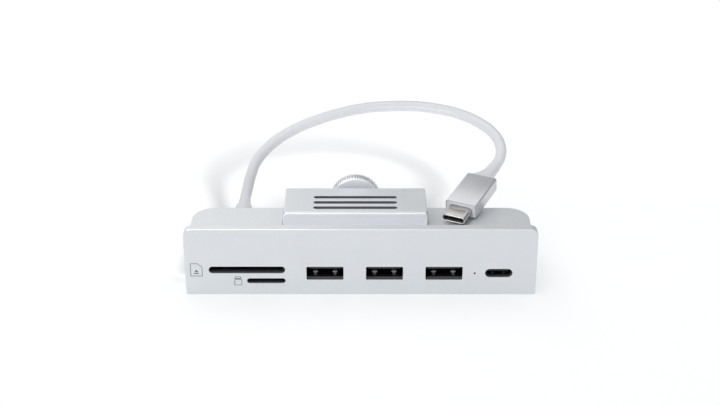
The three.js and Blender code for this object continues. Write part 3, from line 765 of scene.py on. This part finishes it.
def make_spring_fingers(k, x, floor, place):
    """Two fingers, each a hump in the can's floor with a rounded front."""
    hump = (
        (1.4, 0.12, 0.4), (2.6, 0.14, 0.4), (2.7, 0.32, 0.5), (2.72, 0.38, 0.8), (2.8, 0.56, 0.86),
        (2.88, 0.72, 0.8), (2.94, 0.78, 0.6), (3.3, 0.6, 0.6), (3.9, 0.26, 0.6), (5, 0.14, 0.6),
        (8, 0.14, 0.6),
    )
    thickness = 0.12
    springs = Shape()
    for side in (-1, 1):
        at = x + side * FINGER_OFFSET
        loops = []
        for depth, lift, half in hump:
            top = floor + lift
            under = top - thickness
            corners = [(at - half, top), (at + half, top), (at + half, under), (at - half, under)]
            loops.append([place(across, up, depth) for across, up in corners])
        springs.add_loft(loops)
    piece(f"usb_a_springs_{k}", springs, "spring", sharp=50)


def make_usb_a(k):
    """One socket: its can, spring fingers, tongue and contacts."""
    low, high = span(f"usb_a_shell_{k}")
    x, z = middle(f"usb_a_shell_{k}")
    place = along_y(low.y)
    depth = high.y - low.y
    outer = rounded_box(low.x, high.x, low.z, high.z, [0.6] * 4, 5)
    inner = rounded_box(low.x + 0.3, high.x - 0.3, low.z + 0.3, high.z - 0.3, [0.35] * 4, 5)
    shape = socket_can(outer, inner, depth, 0.08, place)
    rear_low = (low.x + 0.35, low.z + 0.35, depth - 0.35)
    shape.add_box(rear_low, (high.x - 0.35, high.z - 0.35, depth - 0.05), place)
    can = piece(
        f"usb_a_can_{k}", shape, "shade_dark_steel", stands_for=[f"usb_a_shell_{k}"]
    )
    # Only the can's front lip keeps its bright nickel; the rest of the can is painted near-black as
    # shade.
    refinish(can, "nickel", lambda at: at.y < low.y + 0.1)
    make_spring_fingers(k, x, low.z + 0.3, place)

    inside_low, inside_high = span(f"usb_a_tongue_{k}")
    front = inside_low.y - low.y
    rear = inside_high.y - low.y
    tongue = Shape()
    tongue.add_box((x - 5.55, z - 0.1, front), (x + 5.55, z + 1.75, rear - 3.6), place, 0.25)
    block_low = (inside_low.x, inside_low.z, rear - 4)
    tongue.add_box(block_low, (inside_high.x, inside_high.z, rear), place, 0.1)
    piece(
        f"usb_a_core_{k}", tongue, "carrier", stands_for=[f"usb_a_tongue_{k}"]
    )
    contacts = Shape()
    for offset in (-3.5, -1, 1, 3.5):
        at = x + offset
        contacts.add_box((at - 0.5, z - 0.2, front + 3), (at + 0.5, z - 0.06, rear - 4.5), place, 0.03)
    piece(f"usb_a_contacts_{k}", contacts, "gold")


def make_usb_c():
    """The socket's can, tongue, contacts, and the latches at their sides."""
    low, high = span("usb_c_shell")
    x, z = middle("usb_c_shell")
    place = along_y(low.y)
    depth = high.y - low.y
    outer = stadium(x, z, high.x - low.x, high.z - low.z)
    shape = socket_can(outer, stadium(x, z, 8.45, 2.6), depth, 0.12, place)
    shape.add_loft(wall(stadium(x, z, 8.4, 2.55), [(0, depth - 0.4), (0, depth - 0.1)], place))
    # The whole can is painted near-black as shade inside the socket.
    piece("usb_c_can", shape, "shade_dark_steel", stands_for=["usb_c_shell"])

    inside_low, inside_high = span("usb_c_tongue")
    front = inside_low.y - low.y
    rear = inside_high.y - low.y
    tongue = Shape()
    tongue.add_box((x - 3.35, z - 0.35, front), (x + 3.35, z + 0.35, rear - 2.1), place, 0.15)
    tongue.add_box((x - 3.6, z - 1.1, rear - 2.5), (x + 3.6, z + 1.1, rear), place, 0.2)
    piece("usb_c_core", tongue, "carrier", stands_for=["usb_c_tongue"])

    contacts = Shape()
    for i in range(12):
        at = x - 2.75 + 0.5 * i
        for side in (-1, 1):
            level = z + side * 0.36
            start = (at - 0.13, level - 0.04, front + 0.7)
            contacts.add_box(start, (at + 0.13, level + 0.04, rear - 2.6), place, 0.02)
    piece("usb_c_contacts", contacts, "gold")

    latches = Shape()
    for side in (-1, 1):
        at = x + side * 3.3
        latches.add_box((at - 0.14, z - 0.4, front + 0.4), (at + 0.14, z + 0.4, rear - 3), place, 0.04)
        at = x + side * 1.9
        for level in (z - 1.2, z + 1.2):
            start = (at - 0.2, level - 0.18, 1.1)
            latches.add_box(start, (at + 0.2, level + 0.18, 2), place, 0.1)
    piece("usb_c_springs", latches, "spring")


# ---- gland, boot and plug ----
def smooth_profile(points, per_span=6):
    """A Catmull-Rom curve through (radius, y) points."""
    padded = [points[0], *points, points[-1]]
    result = []
    for a, b, c, d in zip(padded, padded[1:], padded[2:], padded[3:]):
        for k in range(per_span):
            t = k / per_span
            point = []
            for i in (0, 1):
                linear = (c[i] - a[i]) * t
                square = (2 * a[i] - 5 * b[i] + 4 * c[i] - d[i]) * t * t
                cube = (3 * b[i] - a[i] - 3 * c[i] + d[i]) * t**3
                point.append(0.5 * (2 * b[i] + linear + square + cube))
            result.append(tuple(point))
    result.append(points[-1])
    return result


def make_gland():
    """The strain relief: a collar on the wall, then a shoulder that tapers to the lead."""
    tip = span("cable_gland")[1].y
    wall_out = span("body_shell")[1].y
    inner = wall_out - BODY_WALL
    shoulder = smooth_profile([
        (3.5, wall_out + 0.45), (3.3, wall_out + 1.2), (3.2, wall_out + 3), (3.2, wall_out + 6),
        (3.05, wall_out + 7.4), (2.7, wall_out + 8.5), (2.3, wall_out + 9.2),
        (2.2, wall_out + 10), (2.15, tip + 0.1),
    ])
    lap = tip + 0.42  # over the first of the jacket, so that no gap shows
    profile = [
        (0.3, inner - 1), (2.7, inner - 1), (2.7, inner - 0.1), (2.2, inner - 0.1),
        (2.2, wall_out + 0.1), (3.35, wall_out + 0.1), (3.48, wall_out + 0.22), *shoulder,
        (2.08, lap), (2.0, lap), (1.0, lap),
    ]
    gland = turned(profile, *middle("cable_gland"))
    return piece("strain_relief", gland, "white", stands_for=["cable_gland"])


def plug_matrix():
    """From the plug's own frame, with its axis along Y, to the hub's."""
    turn = Euler((math.radians(PLUG_RISE), 0, math.radians(-PLUG_HEADING)), "XYZ")
    return Matrix.Translation(Vector(PLUG_AT)) @ turn.to_matrix().to_4x4()


def on_plug(x, z, d):
    """A point in the plug's own frame: d is along its axis from the housing's front face."""
    return tuple(plug_matrix() @ Vector((x, d, z)))


def plug_outline(inset, corner, steps=8):
    """The plug's outline from the front, drawn in from the sleeve's outside."""
    width, height, _ = PLUG_SIZE
    half_w, half_h = width / 2 - inset, height / 2 - inset
    return rounded_box(-half_w, half_w, -half_h, half_h, [corner] * 4, steps)


def make_plug():
    """The sleeve, its white front, the metal shell, and the core and contacts inside."""
    length = PLUG_SIZE[2]
    sleeve_steps = through(length, 0.12, 0.12, 2, 1, 0.1)
    bore = (plug_outline(PLUG_WALL, 0.75), through(length, 0.06, 0.06, 2, -1, 0.05))
    tube = plate(plug_outline(0, 0.95), sleeve_steps, [bore], on_plug)
    housing = piece(
        "plug_sleeve", tube, "plug", stands_for=["plug_housing"], sharp=40
    )

    shell_width, shell_height, shell_length = PLUG_SHELL
    proud = 0.08
    hole = stadium(0, 0, shell_width + 0.16, shell_height + 0.16)
    steps = [(inset, d - proud) for inset, d in through(NOSE_DEPTH, 0.15, 0.05, 3, 1, 0.1)]
    hole_steps = [(-inset, d - proud) for inset, d in through(NOSE_DEPTH, 0.05, 0.05, 2, 1, 0.05)]
    nose_shape = plate(plug_outline(PLUG_WALL + 0.05, 0.7), steps, [(hole, hole_steps)], on_plug)
    nose = piece(
        "plug_front", nose_shape, "white", stands_for=["plug_nose"]
    )

    def place(x, z, depth):
        return on_plug(x, z, depth - shell_length)

    run = shell_length + 1.4
    outer = stadium(0, 0, shell_width, shell_height, 14)
    inner = stadium(0, 0, shell_width - 0.6, shell_height - 0.6, 14)
    inner_steps = through(run, 0.1, 0.03, 3, -1, 0.02)
    can = plate(outer, through(run, 0.14, 0.03, 4, 1, 0.02), [(inner, inner_steps)], place)
    shell = piece(
        "plug_can", can, "nickel", stands_for=["plug_shell"], sharp=40
    )

    core_outline = stadium(0, 0, shell_width - 0.7, shell_height - 0.7)
    core = raw_object(
        "plug_core", plate(core_outline, [(0.1, 0.5), (0, 0.6), (0, run - 0.2)], [], place)
    )
    mouth = rounded_box(-3.4, 3.4, -0.45, 0.45, [0.2] * 4, 4)
    carve(core, [plate(mouth, [(-0.12, 0.3), (0, 0.6), (0, 6.4)], [], place)])
    finished(core, "black", stands_for=["plug_contacts"])

    strips = Shape()
    for i in range(12):
        at = -2.75 + 0.5 * i
        for level in (-0.42, 0.42):
            start = (at - 0.12, level - 0.05, 1.5)
            strips.add_box(start, (at + 0.12, level + 0.05, 6), place, 0.02)
    contacts = piece("plug_strips", strips, "gold")
    return [housing, nose, shell, core, contacts]


def bezier(controls, t):
    """A point on a cubic curve, and the curve's direction there."""
    a, b, c, d = controls
    point = a * (1 - t)**3 + b * 3 * t * (1 - t)**2 + c * 3 * t * t * (1 - t) + d * t**3
    heading = (b - a) * (1 - t)**2 + (c - b) * 2 * t * (1 - t) + (d - c) * t * t
    return point, heading.normalized()


def make_boot():
    """White boot from the sleeve's rear face to the lead, bending with it."""
    axis = Vector(on_plug(0, 0, 1)) - Vector(on_plug(0, 0, 0))
    side = Vector(on_plug(1, 0, 0)) - Vector(on_plug(0, 0, 0))
    width, height, length = PLUG_SIZE
    start = Vector(on_plug(0, 0, length - BOOT_LAP))
    last = Vector(CABLE_ROUTE[-1]) / MM
    leave = (last - Vector(CABLE_ROUTE[-2]) / MM).normalized()
    end = last - leave * 0.5
    reach = (end - start).length / 3
    controls = [start, start + axis * reach, end + leave * reach, end]
    rows, points = 30, 48
    loops = []
    for row in range(rows + 1):
        t = row / rows
        centre, heading = bezier(controls, t)
        up = side.cross(heading).normalized()
        right = heading.cross(up)
        # Straight inside the sleeve, then a hollow taper down to the lead.
        shrink = max(0.0, 1 - max(0.0, t - 0.12) / 0.88) ** BOOT_TAPER
        half_w = BOOT_END + (width / 2 - BOOT_INSET - BOOT_END) * shrink
        half_h = BOOT_END + (height / 2 - BOOT_INSET - BOOT_END) * shrink
        power = 1 - 0.62 * shrink  # squarer in the sleeve, round at the lead
        loop = []
        for k in range(points):
            angle = 2 * math.pi * k / points
            c, s = math.cos(angle), math.sin(angle)
            offset = right * (half_w * math.copysign(abs(c)**power, c))
            offset += up * (half_h * math.copysign(abs(s)**power, s))
            loop.append(tuple(centre + offset))
        loops.append(loop)
    loops.append([tuple(Vector(p).lerp(end, 0.08)) for p in loops[-1]])
    return piece(
        "plug_tail", Shape().add_loft(loops), "white", stands_for=["plug_boot"],
        sharp=50,
    )


# ---- what stays as CAD made it ----
def finish_cad_nodes():
    """Gives the nodes that stay as they are their finishes."""
    kept = {
        "steel": ["nut_block_screw_1", "nut_block_screw_2", "guide_pin_left", "guide_pin_right",
                  "retaining_clip", "cable_anchor", *(f"board_screw_{k}" for k in range(1, 5))],
        "brass": ["nut_block"],
        "board": ["main_board"],
        "black": ["hub_chip", "card_reader_chip", "power_inductor", "sd_socket_tray",
                  "microsd_socket_tray"],
        "nickel": ["crystal"],
        # The card sockets' steel lids are painted near-black as shade.
        "shade_dark_steel": ["sd_socket_lid", "microsd_socket_lid"],
        "clear": ["status_led"],
    }
    for finish, nodes in kept.items():
        for node in nodes:
            for slot in bpy.data.objects[node].material_slots:
                slot.material = finishes[finish]


# ---- studio ----
def aim(thing, place, target):
    """Adds a light to the scene, pointed at a target."""
    thing.location = place
    thing.rotation_euler = (Vector(target) - Vector(place)).to_track_quat("-Z", "Y").to_euler()
    bpy.context.scene.collection.objects.link(thing)


def soft_box(name, place, target, size, radiance, color=(1, 1, 1)):
    """An evenly bright rectangle that shows in the metal but never to the camera."""
    data = bpy.data.lights.new(name, "AREA")
    data.shape = "RECTANGLE"
    data.size, data.size_y = size
    data.energy = radiance * math.pi * size[0] * size[1]
    data.color = color
    light = bpy.data.objects.new(name, data)
    light.visible_camera = False
    aim(light, place, target)
    return light


def soft_sun(name, towards, strength, spread):
    """A sun that shines from a direction, its edges softened by a spread in degrees."""
    data = bpy.data.lights.new(name, "SUN")
    data.energy = strength
    data.angle = math.radians(spread)
    light = bpy.data.objects.new(name, data)
    aim(light, towards, (0, 0, 0))
    return light


def make_floor():
    mesh = bpy.data.meshes.new("floor")
    half = FLOOR_HALF
    corners = [(-half, -half, 0), (half, -half, 0), (half, half, 0), (-half, half, 0)]
    mesh.from_pydata(corners, [], [(0, 1, 2, 3)])
    floor = bpy.data.objects.new("floor", mesh)
    bpy.context.scene.collection.objects.link(floor)
    material, tree, shader = new_material("pale_floor", (0.83, 0.83, 0.83), 0.9)
    shader.inputs["Specular IOR Level"].default_value = 0
    tint(tree, shader, noise(tree, 8, 2), (0.825, 0.83, 0.835), (0.835, 0.84, 0.845))
    mesh.materials.append(material)
    return floor


def gather(name, things):
    """A collection that a light's linking can name; it isn't part of the scene."""
    group = bpy.data.collections.new(name)
    for thing in things:
        group.objects.link(thing)
    return group


def make_studio():
    """The key lights the hub from the left, a low fill lights the lead, and a sun lights
    only the floor, where the hub's slim parts shade it and its casing doesn't."""
    shown = [t for t in bpy.data.objects if t.type in {"MESH", "CURVE"} and not t.hide_render]
    slim = [t for t in shown if t.name not in {"face_plate", "body_case", "base_cover"}]
    lead = [t for t in shown if t.name in {"lead_cable", "strain_relief", "plug_tail"}]
    floor = make_floor()
    world = bpy.data.worlds.new("studio")
    world.use_nodes = True
    backdrop = world.node_tree.nodes["Background"]
    backdrop.inputs["Color"].default_value = (0.97, 0.98, 1, 1)
    backdrop.inputs["Strength"].default_value = 0.3
    bpy.context.scene.world = world
    key = soft_box("key", (-0.2, -0.2, 0.34), (0, 0, 0.02), (0.2, 0.2), 6.8)
    lit = [t for t in shown if t not in lead]
    key.light_linking.receiver_collection = gather("hub_pieces", lit)
    lead_fill = soft_box("lead_fill", (-0.1, -0.6, 0.05), (0, 0.04, 0.03), (0.5, 0.16), 7.5)
    lead_fill.light_linking.receiver_collection = gather("lead_pieces", lead)
    floor_key = soft_sun("floor_key", (0.95, -1.1, 1), 2.2, 13)
    floor_key.light_linking.receiver_collection = gather("floor_alone", [floor])
    floor_key.light_linking.blocker_collection = gather("slim_pieces", slim)
    soft_box("overhead", (0, 0.1, 1.2), (0, 0.1, 0), (2.4, 2.2), 0.84)
    soft_box("back_left", (-0.33, 0.5, 0.33), (0, 0, 0.02), (0.72, 0.62), 0.6)
    soft_box("front_left", (-0.55, -0.75, 0.2), (0, 0, 0.03), (0.9, 0.5), 0.6, (0.95, 0.98, 1))
    bpy.context.scene.view_settings.view_transform = "Standard"


make_camera()
cable = make_cable()
make_front_panel()
make_light_window()
make_body_shell()
make_bottom_cover()
make_cover_screws()
make_pad("panel_lining", "panel_pad", "root")
make_pad("jaw_lining", "jaw_pad", "jaw")
make_icons()
make_jaw()
make_thumb_wheel()
make_lead_screw()
for number in (1, 2, 3):
    make_usb_a(number)
make_usb_c()
gland = make_gland()
on_lead = [*make_plug(), make_boot(), gland]
finish_cad_nodes()
make_studio()
